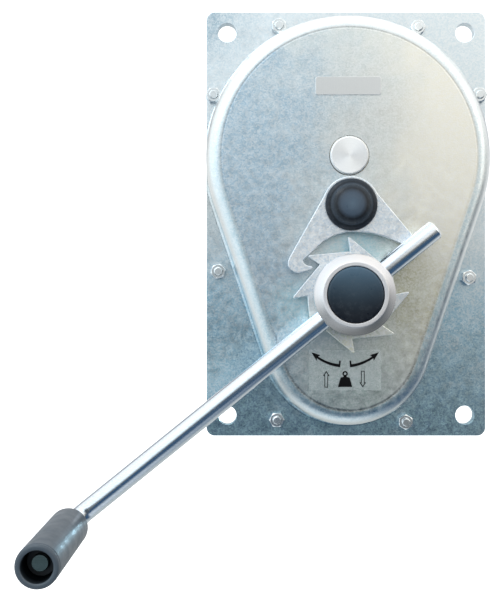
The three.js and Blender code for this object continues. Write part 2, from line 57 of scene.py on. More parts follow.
def middle(node, axis):
    return round(sum(span(node, axis)) / 2, 2)


def size(node, axis):
    low, high = span(node, axis)
    return round(high - low, 2)


PLATE_W, PLATE_T, PLATE_H = (size("base_plate", axis) for axis in "XYZ")
SHEET = 3  # the pressed cover's sheet
FLANGE = -PLATE_T - SHEET  # front of the cover's flange
FACE = span("front_cover", "Y")[0]  # front of the cover's raised face
GEAR_Z, PINION_Z, PAWL_Z = (middle(node, "Z") for node in ("main_shaft", "crank_hub", "pawl_cap"))
TOP_R, BOTTOM_R, BOTTOM_Z = 134.5, 79.0, -113.0  # the cover's two rounds, the upper one about the main shaft
MOUNT_HOLES = [(sx * 115, sz * 185) for sx in (-1, 1) for sz in (-1, 1)]
NUT_TURNS = (30, 0, 0, 0, 12, 20, 0, 30)  # degrees, one for each cover screw
COVER_SCREWS = [
    (middle(f"cover_screw_{number}", "X"), middle(f"cover_screw_{number}", "Z"), turn)
    for number, turn in enumerate(NUT_TURNS, 1)
]
ROD_ANGLE = math.radians(38.9)
OUT = Vector((-math.cos(ROD_ANGLE), 0, -math.sin(ROD_ANGLE)))
FRONT = Vector((0, -1, 0))
ROD_Y, ROD_R, ROD_REACH, ROD_STUB, ROD_BEND = -76.0, 9.0, 321.5, 94.0, 17.0
GRIP_X = (OUT * ROD_REACH).x
GRIP_Z = PINION_Z + (OUT * ROD_REACH).z
CAMERA_X, CAMERA_Z = -91.9, -73.6
CAMERA_Y = FLANGE - 860.0


# ---------------------------------------------------------------- shapes: (vertices, faces) in millimetres


def join(*shapes):
    vertices, faces = [], []
    for shape_vertices, shape_faces in shapes:
        start = len(vertices)
        vertices += shape_vertices
        faces += [[start + i for i in face] for face in shape_faces]
    return vertices, faces


def arc(x, z, radius, count, start=0.0, sweep=360.0):
    """Points on a circle in the XZ plane. A full turn leaves out the repeated last point."""
    last = count if sweep >= 360 else count - 1
    angles = [math.radians(start + sweep * i / last) for i in range(count)]
    return [(x + radius * math.cos(a), z + radius * math.sin(a)) for a in angles]


def polar(x, z, radius, angle):
    """The point at a radius and an angle in degrees from (x, z)."""
    return (x + radius * math.cos(math.radians(angle)), z + radius * math.sin(math.radians(angle)))


def soften(points, radius, steps=4, closed=False):
    """A polyline with its corners rounded, as far as its sides leave room."""
    out = []
    count = len(points)
    for i, here in enumerate(points):
        if not closed and i in (0, count - 1):
            out.append(here)
            continue
        corner = Vector(here)
        before, after = Vector(points[i - 1]) - corner, Vector(points[(i + 1) % count]) - corner
        reach = min(radius, before.length * 0.45, after.length * 0.45)
        turn = before.angle(after, math.pi) if before.length and after.length else math.pi
        if reach < 0.02 or turn > math.radians(175):
            out.append(here)
            continue
        a, b = corner + before.normalized() * reach, corner + after.normalized() * reach
        for k in range(steps + 1):
            t = k / steps
            out.append(tuple(a * (1 - t) ** 2 + corner * 2 * t * (1 - t) + b * t**2))
    return out


def rounded_rectangle(width, height, radius, x=0.0, z=0.0, steps=10):
    points = []
    for sx, sz, start in ((1, 1, 0), (-1, 1, 90), (-1, -1, 180), (1, -1, 270)):
        centre = (x + sx * (width / 2 - radius), z + sz * (height / 2 - radius))
        points += arc(*centre, radius, steps, start, 90)
    return points


def cut_plate(outline, rear, front, holes=(), edge=0.4, steps=2):
    """A flat piece cut from plate in the XZ plane, with its edges rounded over."""
    curve = bpy.data.curves.new("outline", "CURVE")
    curve.dimensions = "2D"
    curve.fill_mode = "BOTH"
    for points in (outline, *holes):
        spline = curve.splines.new("POLY")
        spline.points.add(len(points) - 1)
        for target, (x, z) in zip(spline.points, points):
            target.co = (x, z, 0, 1)
        spline.use_cyclic_u = True
    curve.extrude = (rear - front) / 2 - edge
    curve.bevel_depth = edge
    curve.bevel_resolution = steps
    curve.offset = -edge
    holder = bpy.data.objects.new("outline", curve)
    mesh = bpy.data.meshes.new_from_object(holder)
    centre_y = (rear + front) / 2
    vertices = [(v.co.x, centre_y - v.co.z, v.co.y) for v in mesh.vertices]
    faces = [list(polygon.vertices) for polygon in mesh.polygons]
    bpy.data.objects.remove(holder)
    bpy.data.curves.remove(curve)
    bpy.data.meshes.remove(mesh)
    return vertices, faces


def revolve(profile, x, z, segments=96):
    """A turned piece about a Y axis at (x, z). The profile is pairs of radius and depth."""
    vertices, rows = [], []
    for radius, y in profile:
        if radius < 1e-6:
            rows.append([len(vertices)] * segments)
            vertices.append((x, y, z))
            continue
        rows.append([len(vertices) + i for i in range(segments)])
        vertices += [(px, y, pz) for px, pz in arc(x, z, radius, segments)]
    return vertices, skin(rows)


def skin(rows):
    """Faces between neighbouring rings of vertex numbers."""
    faces = []
    for low, high in zip(rows, rows[1:]):
        for i in range(len(low)):
            j = (i + 1) % len(low)
            corners = [low[i], low[j], high[j], high[i]]
            face = [c for k, c in enumerate(corners) if c != corners[k - 1]]
            if len(face) > 2:
                faces.append(face)
    return faces


def loft(rings, cap_start=True, cap_end=True):
    """A skin through rings of points that all have the same count."""
    count = len(rings[0])
    vertices = [tuple(point) for ring in rings for point in ring]
    rows = [list(range(r * count, (r + 1) * count)) for r in range(len(rings))]
    faces = skin(rows)
    if cap_start:
        faces.append(rows[0][::-1])
    if cap_end:
        faces.append(rows[-1])
    return vertices, faces


def hex_radius(angle, flats):
    """How far a hexagon's side lies from its middle at an angle, with a flat facing angle 30 degrees."""
    return flats / 2 / math.cos((angle % (math.pi / 3)) - math.pi / 6)


def hex_ring(x, z, y, flats, turn, limit=1e9, count=72):
    ring = []
    for i in range(count):
        angle = 2 * math.pi * i / count
        radius = min(hex_radius(angle - math.radians(turn), flats), limit)
        ring.append((x + radius * math.cos(angle), y, z + radius * math.sin(angle)))
    return ring


def circle_ring(x, z, y, radius, count=72):
    return [(px, y, pz) for px, pz in arc(x, z, radius, count)]


def hex_block(x, z, rear, front, flats, turn, hole=0.0):
    """A nut or screw head: a hexagon whose front corners are turned off by a cone."""
    toward = -1 if front < rear else 1
    rings = [hex_ring(x, z, rear, flats, turn)]
    for depth in (1.3, 1.0, 0.75, 0.5, 0.25, 0.0):
        limit = flats / 2 * 0.95 + depth * 1.73
        rings.append(hex_ring(x, z, front - toward * depth, flats, turn, limit))
    if hole:
        rings.append(circle_ring(x, z, front, hole + 0.5))
        rings.append(circle_ring(x, z, front - toward * 0.6, hole))
        rings.append(circle_ring(x, z, rear, hole))
    return loft(rings, cap_start=not hole, cap_end=not hole)


def thread(x, z, radius, rear, front, pitch=1.25, around=36):
    """A threaded end: a helical ridge on a rod, with a small chamfer at the tip."""
    toward = -1 if front < rear else 1
    length = abs(front - rear)
    rows = int(length / pitch * 6)
    rings = []
    for row in range(rows + 1):
        along = length * row / rows
        taper = min(1.0, (length - along) / 0.8) * 0.8 - 0.8
        ring = []
        for i in range(around):
            phase = (along / pitch + i / around) % 1.0
            depth = 0.62 * (1 - abs(2 * phase - 1))
            r = radius - depth + taper * 0.6
            angle = 2 * math.pi * i / around
            ring.append((x + r * math.cos(angle), rear + toward * along, z + r * math.sin(angle)))
        rings.append(ring)
    return loft(rings, cap_start=False)


# ---------------------------------------------------------------- materials


# Stains in the plating of the raised face, and in the last two rows pale cyan painted reflection by the pawl
# and the ratchet wheel: x, z, radius in millimetres, and colour.
FACE_STAINS_AND_PAINTED_REFLECTIONS = [
    (12, 105, 75, (0.76, 0.78, 0.77)),
    (48, -66, 85, (0.60, 0.59, 0.46)),
    (0, -160, 100, (0.56, 0.64, 0.62)),
    # painted reflection: the next two pale cyan patches by the pawl and the ratchet wheel
    (8, -25, 48, (0.64, 0.88, 0.96)),
    (-50, -82, 42, (0.62, 0.86, 0.92)),
]
# The shoulder's tint next to the crease, from the cover's bottom to its top: painted shade, darker and bluer
# towards the bottom.
SHOULDER_PAINTED_SHADE = [
    (0.0, (0.52, 0.66, 0.72)),
    (0.35, (0.64, 0.76, 0.81)),
    (1.0, (0.84, 0.88, 0.90)),
]
# Paler and duller patches in the plating of the flange.
FLANGE_STAINS = [
    (-140, 205, 70, (0.44, 0.55, 0.62)),
    (-138, 25, 60, (0.68, 0.70, 0.68)),
    (-130, -150, 45, (0.66, 0.84, 0.91)),
]
# The flange's tint from its bottom edge to its top edge: painted shade, darker and bluer towards the bottom.
FLANGE_PAINTED_SHADE = [
    (0.0, (0.34, 0.50, 0.58)),
    (0.3, (0.52, 0.69, 0.79)),
    (0.5, (0.76, 0.84, 0.88)),
    (1.0, (0.80, 0.87, 0.91)),
]


class Nodes:
    """Builds small chains in a node tree."""

    def __init__(self, tree):
        self.tree = tree

    def node(self, kind, **settings):
        made = self.tree.nodes.new(kind)
        for name, value in settings.items():
            setattr(made, name, value)
        return made

    def feed(self, target, value):
        if isinstance(value, bpy.types.NodeSocket):
            self.tree.links.new(value, target)
        else:
            target.default_value = value

    def scaled(self, value, low_in, high_in, low_out=0.0, high_out=1.0, smooth=False):
        made = self.node("ShaderNodeMapRange", interpolation_type="SMOOTHSTEP" if smooth else "LINEAR")
        for name, number in (
            ("Value", value),
            ("From Min", low_in),
            ("From Max", high_in),
            ("To Min", low_out),
            ("To Max", high_out),
        ):
            self.feed(made.inputs[name], number)
        return made.outputs["Result"]

    def maths(self, operation, a, b=0.0):
        made = self.node("ShaderNodeMath", operation=operation)
        self.feed(made.inputs[0], a)
        self.feed(made.inputs[1], b)
        return made.outputs[0]

    def part(self, vector, axis):
        made = self.node("ShaderNodeSeparateXYZ")
        self.feed(made.inputs[0], vector)
        return made.outputs[axis]

    def blend(self, amount, a, b, mode="MIX"):
        made = self.node("ShaderNodeMix", data_type="RGBA", blend_type=mode)
        self.feed(made.inputs["Factor"], amount)
        colours = [s for s in made.inputs if s.type == "RGBA"]
        for socket, value in zip(colours, (a, b)):
            self.feed(socket, (*value, 1) if isinstance(value, tuple) and len(value) == 3 else value)
        return [s for s in made.outputs if s.type == "RGBA"][0]

    def ramp(self, value, stops):
        """A colour ramp; a stop's colour may be one number for a grey."""
        made = self.node("ShaderNodeValToRGB")
        self.feed(made.inputs["Fac"], value)
        elements = made.color_ramp.elements
        while len(elements) < len(stops):
            elements.new(0.5)
        for element, (position, colour) in zip(elements, stops):
            element.position = position
            element.color = (*colour, 1) if isinstance(colour, tuple) else (colour, colour, colour, 1)
        return made.outputs["Color"]


class Finish(Nodes):
    """A principled material whose colour, roughness and bump come from small procedural chains."""

    def __init__(self, name, metallic=0.0, roughness=0.5, color=(0.8, 0.8, 0.8), specular=0.5):
        self.material = bpy.data.materials.new(name)
        self.material.use_nodes = True
        super().__init__(self.material.node_tree)
        self.shader = self.tree.nodes["Principled BSDF"]
        self.shader.inputs["Metallic"].default_value = metallic
        self.shader.inputs["Roughness"].default_value = roughness
        self.shader.inputs["Base Color"].default_value = (*color, 1)
        self.shader.inputs["Specular IOR Level"].default_value = specular
        self.place = self.node("ShaderNodeTexCoord").outputs["Object"]

    def axes(self, rotation=(0, 0, 0), scale=(1, 1, 1), location=(0, 0, 0)):
        """Object coordinates turned, stretched and shifted."""
        made = self.node("ShaderNodeMapping")
        self.feed(made.inputs["Vector"], self.place)
        self.feed(made.inputs["Rotation"], rotation)
        self.feed(made.inputs["Scale"], scale)
        self.feed(made.inputs["Location"], location)
        return made.outputs["Vector"]

    def noise(self, scale, detail=3.0, roughness=0.5, vector=None, distortion=0.0):
        made = self.node("ShaderNodeTexNoise")
        self.feed(made.inputs["Vector"], vector or self.place)
        for name, value in (("Scale", scale), ("Detail", detail), ("Roughness", roughness)):
            self.feed(made.inputs[name], value)
        self.feed(made.inputs["Distortion"], distortion)
        return made.outputs["Fac"]

    def cells(self, scale, vector=None):
        made = self.node("ShaderNodeTexVoronoi")
        self.feed(made.inputs["Vector"], vector or self.place)
        self.feed(made.inputs["Scale"], scale)
        return made.outputs["Color"]

    def near(self, x, z, radius):
        """One at (x, z) in millimetres, fading to nothing at a radius round it, whatever the depth."""
        centred = self.axes(location=(-x * MM, 0, -z * MM), scale=(1, 0, 1))
        length = self.node("ShaderNodeVectorMath", operation="LENGTH")
        self.feed(length.inputs[0], centred)
        return self.scaled(length.outputs["Value"], 0.0, radius * MM, 1.0, 0.0, smooth=True)

    # Lays coloured patches over a colour: plating marks, and on the raised face also painted reflection.
    def patched(self, colour, patches, uneven):
        for x, z, radius, patch_colour in patches:
            colour = self.blend(self.maths("MULTIPLY", self.near(x, z, radius), uneven), colour, patch_colour)
        return colour

    def cover_inset(self):
        """How far inside the cover's outline a point lies, in metres, whatever the depth."""
        lean = (TOP_R - BOTTOM_R) / (GEAR_Z - BOTTOM_Z)
        straight = math.sqrt(1 - lean**2)
        length = (GEAR_Z - BOTTOM_Z) * MM
        across = self.maths("ABSOLUTE", self.part(self.place, "X"))
        down = self.maths("SUBTRACT", GEAR_Z * MM, self.part(self.place, "Z"))
        along = self.maths("SUBTRACT", down, self.maths("MULTIPLY", across, lean / straight))
        share = self.scaled(along, 0.0, length)
        below = self.maths("SUBTRACT", down, self.maths("MULTIPLY", share, length))
        across_squared = self.maths("MULTIPLY", across, across)
        below_squared = self.maths("MULTIPLY", below, below)
        distance = self.maths("SQRT", self.maths("ADD", across_squared, below_squared))
        radius = self.scaled(share, 0.0, 1.0, TOP_R * MM, BOTTOM_R * MM)
        return self.maths("SUBTRACT", radius, distance)

    def bump(self, height, distance, strength=1.0, under=None):
        made = self.node("ShaderNodeBump")
        self.feed(made.inputs["Height"], height)
        self.feed(made.inputs["Distance"], distance)
        self.feed(made.inputs["Strength"], strength)
        if under is not None:
            self.feed(made.inputs["Normal"], under)
        return made.outputs["Normal"]

    def colour(self, value):
        self.feed(self.shader.inputs["Base Color"], value)

    def rough(self, value):
        self.feed(self.shader.inputs["Roughness"], value)

    def normal(self, value):
        self.feed(self.shader.inputs["Normal"], value)


def zinc(name):
    """Blue-passivated zinc plating, finely speckled, with light and shade painted in: the flange cool and
    painted darker towards the bottom, the raised face warmer with patchy staining and painted brighter to
    the right, painted reflection by the pawl, and painted shade and highlight on the shoulder and crease.
    """
    f = Finish(name, metallic=1.0)
    clouds = f.noise(11.0, 4.0, 0.6, distortion=0.6)
    across = f.scaled(f.part(f.place, "X"), -0.1, 0.09)
    across = f.maths("ADD", across, f.scaled(clouds, 0.3, 0.7, -0.3, 0.3))
    # painted light: the raised face darker and bluer on the left, brighter and warmer on the right, partly
    # the plating's own tint
    face = f.ramp(across, [(0.1, (0.58, 0.70, 0.79)), (0.9, (0.98, 0.96, 0.88))])
    uneven = f.scaled(clouds, 0.3, 0.6, 0.4, 1.0)
    face = f.patched(face, FACE_STAINS_AND_PAINTED_REFLECTIONS, uneven)
    height = f.maths("ADD", f.part(f.place, "Z"), f.scaled(clouds, 0.3, 0.7, -0.03, 0.03))
    up = f.scaled(height, -0.2, 0.2)
    # painted shade: the flange darker and bluer towards its bottom edge
    flange = f.patched(f.ramp(up, FLANGE_PAINTED_SHADE), FLANGE_STAINS, uneven)
    raised = f.scaled(f.part(f.place, "Y"), -0.034, -0.022, 1.0, 0.0)
    tint = f.blend(raised, flange, face)
    inset = f.cover_inset()
    # painted shade and highlight: the shoulder's inner band shaded by height, its outer band near-white as a
    # painted reflection of bright surroundings
    shoulder = f.blend(f.scaled(inset, 0.010, 0.003), f.ramp(up, SHOULDER_PAINTED_SHADE), (0.88, 0.91, 0.91))
    pressed = f.scaled(f.part(f.place, "Y"), -0.010, -0.016)
    tint = f.blend(f.maths("MULTIPLY", pressed, f.scaled(inset, 0.0145, 0.0128)), tint, shoulder)
    # painted shade: a dark line along the crease, strongest at the bottom of the cover
    crease = f.maths("MULTIPLY", f.scaled(inset, 0.0130, 0.0145), f.scaled(inset, 0.0170, 0.0150))
    crease = f.maths("MULTIPLY", f.maths("MULTIPLY", crease, pressed), f.scaled(up, 0.02, 0.3, 0.75, 0.12))
    tint = f.blend(crease, tint, (0.12, 0.13, 0.14))
    tint = f.blend(f.scaled(f.noise(30.0, 4.0, 0.65), 0.52, 0.75, 0.0, 0.3), tint, (0.93, 0.96, 0.97))
    speckle = f.ramp(f.part(f.cells(760.0), "X"), [(0.0, 0.12), (1.0, 0.88)])
    tint = f.blend(0.42, tint, speckle, "OVERLAY")
    f.colour(tint)
    f.rough(f.scaled(f.noise(160.0, 3.0), 0.3, 0.7, 0.28, 0.44))
    grain = f.bump(f.noise(900.0, 2.0), 0.0001, 0.7)
    f.normal(f.bump(f.noise(10.0, 2.0), 0.001, 0.12, under=grain))
    return f.material


def light_zinc(name):
    """The paler plating on the pawl and the ratchet wheel: speckled, warmer towards the bottom."""
    f = Finish(name, metallic=0.85)
    up = f.scaled(f.part(f.place, "Z"), -0.13, -0.02)
    tint = f.ramp(up, [(0.0, (1.0, 0.97, 0.80)), (0.6, (0.84, 0.89, 0.94))])
    tint = f.blend(f.scaled(f.noise(70.0, 4.0, 0.7), 0.45, 0.7, 0.0, 0.4), tint, (0.70, 0.77, 0.81))
    speckle = f.ramp(f.part(f.cells(700.0), "X"), [(0.0, 0.05), (0.5, 0.60), (1.0, 1.0)])
    f.colour(f.blend(0.8, tint, speckle, "OVERLAY"))
    f.rough(f.scaled(f.noise(220.0, 3.0), 0.3, 0.7, 0.30, 0.5))
    f.normal(f.bump(f.noise(800.0, 2.0), 0.0001, 0.7))
    return f.material


def turned_metal(name, x, z, colour, roughness=(0.18, 0.32), pitch=2600.0, streak=0.6, chamfer=None):
    """Bright metal with concentric marks from the lathe about a Y axis at (x, z).

    Beyond the radius of a chamfer, in millimetres, it is smoother and has painted shade that darkens it to
    the lower right.
    """
    f = Finish(name, metallic=1.0)
    centred = f.axes(location=(-x * MM, 0, -z * MM), scale=(1, 0, 1))
    length = f.node("ShaderNodeVectorMath", operation="LENGTH")
    f.feed(length.inputs[0], centred)
    lines = f.noise(1.0, 2.0, 0.6, vector=f.maths("MULTIPLY", length.outputs["Value"], pitch))
    marked = f.blend(f.scaled(lines, 0.3, 0.7, 0.0, 0.3), colour, tuple(c * 0.84 for c in colour))
    rough = f.scaled(lines, 0.3, 0.7, *roughness)
    if chamfer:
        outside = f.scaled(length.outputs["Value"], (chamfer - 0.5) * MM, (chamfer + 0.5) * MM)
        rightward = f.maths("MULTIPLY", f.part(centred, "X"), 0.3)
        slant = f.maths("SUBTRACT", f.part(centred, "Z"), rightward)
        # painted shade: the chamfer darkened towards its lower right
        low = f.maths("MULTIPLY", f.scaled(slant, 0.01, -0.033, 0.0, 0.95), outside)
        marked = f.blend(low, marked, tuple(c * 0.28 for c in colour))
        rough = f.maths("ADD", rough, f.scaled(outside, 0.0, 1.0, 0.3, 0.0))
    f.colour(marked)
    f.rough(rough)
    scuffs = f.noise(60.0, 4.0, 0.6)
    grain = f.bump(lines, 0.00003, 0.6)
    f.normal(f.bump(scuffs, 0.0001, 0.2, under=grain))
    around = f.node("ShaderNodeVectorMath", operation="CROSS_PRODUCT")
    f.feed(around.inputs[0], centred)
    f.feed(around.inputs[1], (0, 1, 0))
    f.feed(f.shader.inputs["Anisotropic"], streak)
    f.feed(f.shader.inputs["Tangent"], around.outputs["Vector"])
    return f.material


def drawn_bar(name):
    """Bright drawn bar: faint long streaks along the crank rod, and painted shade on its end down in the
    grip's recess.
    """
    f = Finish(name, metallic=1.0)
    along = f.axes(rotation=(0, -ROD_ANGLE, 0), scale=(14, 900, 900))
    streaks = f.noise(1.0, 3.0, 0.6, vector=along)
    steel = f.blend(f.scaled(streaks, 0.35, 0.7, 0.0, 0.5), (0.90, 0.94, 0.98), (0.64, 0.71, 0.80))
    # painted shade: the rod's end down in the grip's recess darkened
    grip_recess_shade = f.scaled(f.part(f.place, "Y"), -0.19, -0.2)
    f.colour(f.blend(grip_recess_shade, steel, (0.22, 0.30, 0.30)))
    f.rough(f.scaled(streaks, 0.3, 0.7, 0.10, 0.24))
    f.normal(f.bump(streaks, 0.00004, 0.7))
    return f.material


def plain_steel(name, colour, roughness=(0.25, 0.4)):
    f = Finish(name, metallic=1.0)
    patches = f.noise(45.0, 4.0, 0.6)
    f.colour(f.blend(f.scaled(patches, 0.35, 0.75, 0.0, 0.4), colour, tuple(c * 0.75 for c in colour)))
    f.rough(f.scaled(patches, 0.3, 0.7, *roughness))
    f.normal(f.bump(f.noise(700.0, 2.0), 0.00003, 0.4))
    return f.material


def grip_plastic(name, colour):
    """Moulded grip: satin grey and scuffed; painted shade makes it black down in the recess at its end."""
    f = Finish(name)
    centred = f.axes(location=(-GRIP_X * MM, 0, -GRIP_Z * MM), scale=(1, 0, 1))
    length = f.node("ShaderNodeVectorMath", operation="LENGTH")
    f.feed(length.inputs[0], centred)
    outside = f.scaled(length.outputs["Value"], 0.0121, 0.0126)
    scuffs = f.scaled(f.noise(60.0, 5.0, 0.7), 0.45, 0.75, 0.0, 0.35)
    tone = f.blend(scuffs, colour, (0.12, 0.15, 0.18))
    # painted shade: inside the lip the recess is black, its specular turned down
    f.colour(f.blend(outside, (0.002, 0.003, 0.004), tone))
    f.feed(f.shader.inputs["Specular IOR Level"], f.scaled(outside, 0.0, 1.0, 0.05, 0.5))
    f.rough(f.scaled(f.noise(90.0, 3.0), 0.3, 0.7, 0.34, 0.5))
    f.normal(f.bump(f.noise(1000.0, 2.0), 0.00006, 0.5))
    return f.material


def cap_plastic(name, x, z, rings, painted_sheen):
    """Dark moulded plastic whose tone changes from the cap's middle out as painted reflection and shade; a
    painted highlight makes it lighter towards the top.
    """
    f = Finish(name, specular=0.3)
    centred = f.axes(location=(-x * MM, 0, -z * MM), scale=(1, 0, 1))
    length = f.node("ShaderNodeVectorMath", operation="LENGTH")
    f.feed(length.inputs[0], centred)
    # painted reflection and shade: the tone from the cap's middle out
    tone = f.ramp(f.scaled(length.outputs["Value"], 0.0, 0.025), rings)
    # painted highlight: lighter towards the top of the cap
    up = f.maths("POWER", f.scaled(f.part(centred, "Z"), -0.022, 0.024), 2.2)
    tone = f.blend(up, tone, painted_sheen, "ADD")
    dust = f.scaled(f.noise(320.0, 4.0, 0.7), 0.5, 0.8, 0.0, 0.2)
    f.colour(f.blend(dust, tone, (0.12, 0.14, 0.16)))
    f.rough(f.scaled(f.noise(90.0, 3.0), 0.3, 0.7, 0.26, 0.42))
    f.normal(f.bump(f.noise(900.0, 2.0), 0.00005, 0.4))
    return f.material


def friction_lining(name):
    f = Finish(name, roughness=0.9)
    flecks = f.noise(500.0, 3.0)
    f.colour(f.ramp(flecks, [(0.3, (0.05, 0.04, 0.03)), (0.7, (0.16, 0.13, 0.10))]))
    f.normal(f.bump(flecks, 0.0001, 0.5))
    return f.material


def clear_film(name):
    """A thin clear sticker: mostly see-through, slightly milky."""
    f = Finish(name, roughness=0.2, color=(0.86, 0.90, 0.90))
    f.shader.inputs["Alpha"].default_value = 0.14
    f.rough(f.scaled(f.noise(120.0, 3.0), 0.3, 0.7, 0.12, 0.3))
    return f.material


def printed(name):
    f = Finish(name, roughness=0.45, color=(0.003, 0.003, 0.004), specular=0.15)
    f.rough(f.scaled(f.noise(300.0, 2.0), 0.3, 0.7, 0.35, 0.55))
    return f.material


ZINC = zinc("zinc_plate")
ZINC_LIGHT = light_zinc("zinc_light")
FASTENER = plain_steel("zinc_fastener", (0.90, 0.94, 0.96), (0.18, 0.34))
STEEL = plain_steel("bright_steel", (0.78, 0.79, 0.80))
GEAR_STEEL = plain_steel("gear_steel", (0.30, 0.30, 0.31), (0.35, 0.55))
DARK_STEEL = plain_steel("dark_spring_steel", (0.05, 0.055, 0.06), (0.4, 0.55))
SHAFT_END = turned_metal("turned_shaft", 0, GEAR_Z, (1.0, 1.0, 1.0), (0.5, 0.65))
HUB_GREY = (0.88, 0.87, 0.88)
HUB_METAL = turned_metal("turned_hub", 0, PINION_Z, HUB_GREY, (0.24, 0.38), streak=0.75, chamfer=29.0)
ROD_METAL = drawn_bar("drawn_bar")
BRONZE = plain_steel("bearing_bronze", (0.60, 0.42, 0.20), (0.3, 0.45))
FRICTION = friction_lining("friction_lining")
# painted reflection: the hub cap a little lighter and bluer in its middle than at its rim
HUB_CAP_PAINTED_REFLECTION = [(0.0, (0.012, 0.020, 0.030)), (0.9, (0.005, 0.008, 0.014))]
HUB_CAP = cap_plastic("hub_cap_plastic", 0, PINION_Z, HUB_CAP_PAINTED_REFLECTION, (0.085, 0.15, 0.21))
# painted light on the pivot cap from its middle out: a lighter middle as painted reflection, dark rings as
# painted shade, a paler ring between them as painted highlight
PIVOT_CAP_PAINTED_LIGHT = [
    (0.0, (0.095, 0.14, 0.19)),
    (0.4, (0.060, 0.085, 0.12)),
    (0.56, (0.008, 0.010, 0.014)),
    (0.66, (0.020, 0.028, 0.038)),
    (0.74, (0.045, 0.060, 0.080)),
    (0.80, (0.005, 0.008, 0.012)),
    (0.92, (0.012, 0.018, 0.028)),
]
PIVOT_CAP = cap_plastic("pivot_cap_plastic", 0, PAWL_Z, PIVOT_CAP_PAINTED_LIGHT, (0.010, 0.015, 0.022))
GRIP_GREY = grip_plastic("grip_plastic", (0.066, 0.088, 0.112))
FILM = clear_film("label_film")
INK = printed("label_ink")
BADGE_X, BADGE_Z = middle("blank_plate", "X"), middle("blank_plate", "Z")
MARKS_X = 400  # the badge's marks circle a point far to the side, so they run nearly straight
BADGE = turned_metal("badge_metal", MARKS_X, BADGE_Z, (0.86, 0.87, 0.87), (0.3, 0.42), pitch=1800.0)


# ---------------------------------------------------------------- making pieces


def piece(name, shape, material, body, nodes=(), smooth=32.0):
    """One shown piece: a mesh in place, smooth shaded but for flats and sharp corners, riding on a body."""
    vertices, faces = shape
    mesh = bpy.data.meshes.new(name)
    mesh.from_pydata([tuple(c * MM for c in v) for v in vertices], [], faces)
    mesh.validate()
    obj = bpy.data.objects.new(name, mesh)
    bpy.context.scene.collection.objects.link(obj)
    tidy_normals(obj)
    shade(mesh, smooth)
    mesh.materials.append(material)
    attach(obj, body)
    if nodes:
        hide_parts(*nodes)
    return obj


def shade(mesh, angle=32.0):
    """Smooth shading, with flat faces left flat where they are square to the shafts."""
    mesh.set_sharp_from_angle(angle=math.radians(angle))
    for polygon in mesh.polygons:
        polygon.use_smooth = abs(polygon.normal.y) < 0.9999


def tidy_normals(obj):
    """Merges doubled vertices and turns every face outwards."""
    work = bmesh.new()
    work.from_mesh(obj.data)
    bmesh.ops.remove_doubles(work, verts=work.verts, dist=1e-6)
    bmesh.ops.recalc_face_normals(work, faces=work.faces)
    work.to_mesh(obj.data)
    work.free()


def finish_node(name, material):
    """Gives a CAD node that stays as it is its finish."""
    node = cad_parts[name]
    node.data.materials.clear()
    node.data.materials.append(material)


# ---------------------------------------------------------------- plate and cover

TILT = math.degrees(math.asin((TOP_R - BOTTOM_R) / (GEAR_Z - BOTTOM_Z)))


def teardrop(inset, y, top=220, bottom=120, side=40):
    """The cover's outline round both gears, moved inwards by an inset: two arcs and the straight sides."""
    upper = arc(0, GEAR_Z, TOP_R - inset, top, -TILT, 180 + 2 * TILT)
    lower = arc(0, BOTTOM_Z, BOTTOM_R - inset, bottom, 180 + TILT, 180 - 2 * TILT)
    left = line(upper[-1], lower[0], side)
    right = line(lower[-1], upper[0], side)
    widest = PLATE_W / 2 - 0.6
    return [(max(-widest, min(widest, x)), y, z) for x, z in upper + left + lower + right]


def line(a, b, count):
    """Points between two points, without the ends."""
    return [
        (a[0] + (b[0] - a[0]) * k / (count + 1), a[1] + (b[1] - a[1]) * k / (count + 1))
        for k in range(1, count + 1)
    ]


def cover_profile():
    """Pairs of inset and depth, from the flange up the wall and over the shoulder to the crease."""
    foot = [(-3.2 + 3.2 * math.sin(a), FLANGE - 3.2 * (1 - math.cos(a))) for a in quarter(5)]
    wall_end = FLANGE - 17.0
    shoulder = [
        (13.2 * (1 - math.cos(a)), wall_end - (wall_end - FACE) * math.sin(a)) for a in quarter(14)
    ]
    crease = [(13.9, 0.02), (14.5, 0.1), (15.0, 0.12), (15.6, 0.03), (16.2, 0.0)]
    return foot + shoulder + [(inset, FACE + depth) for inset, depth in crease]


def quarter(steps):
    return [math.pi / 2 * k / steps for k in range(steps + 1)]


def cover_shape():
    screw_holes = [arc(x, z, 4.3, 32) for x, z, _ in COVER_SCREWS]
    mount_holes = [arc(x, z, 9.0, 48) for x, z in MOUNT_HOLES]
    opening = [(x, z) for x, _, z in teardrop(-3.2, 0)]
    outline = rounded_rectangle(PLATE_W, PLATE_H, 8)
    flange = cut_plate(outline, -PLATE_T, FLANGE, [opening, *mount_holes, *screw_holes], edge=0.5)
    profile = cover_profile()
    pressing = loft([teardrop(inset, y) for inset, y in profile], cap_start=False, cap_end=False)
    rim = [(x, z) for x, _, z in teardrop(profile[-1][0], 0)]
    holes = [arc(0, GEAR_Z, 18.8, 64), arc(0, PINION_Z, 15.3, 48), arc(0, PAWL_Z, 8.3, 32)]
    face = cut_plate(rim, FACE + SHEET, FACE, holes, edge=0.02, steps=0)
    return join(flange, pressing, face)


def base_plate_shape():
    screw_holes = [arc(x, z, 7.8, 40) for x, z, _ in COVER_SCREWS]
    mount_holes = [arc(x, z, 9.0, 48) for x, z in MOUNT_HOLES]
    bores = [arc(0, GEAR_Z, 23.3, 72), arc(0, PINION_Z, 13.3, 48)]
    outline = rounded_rectangle(PLATE_W, PLATE_H, 8)
    return cut_plate(outline, 0, -PLATE_T, mount_holes + screw_holes + bores, edge=0.6)


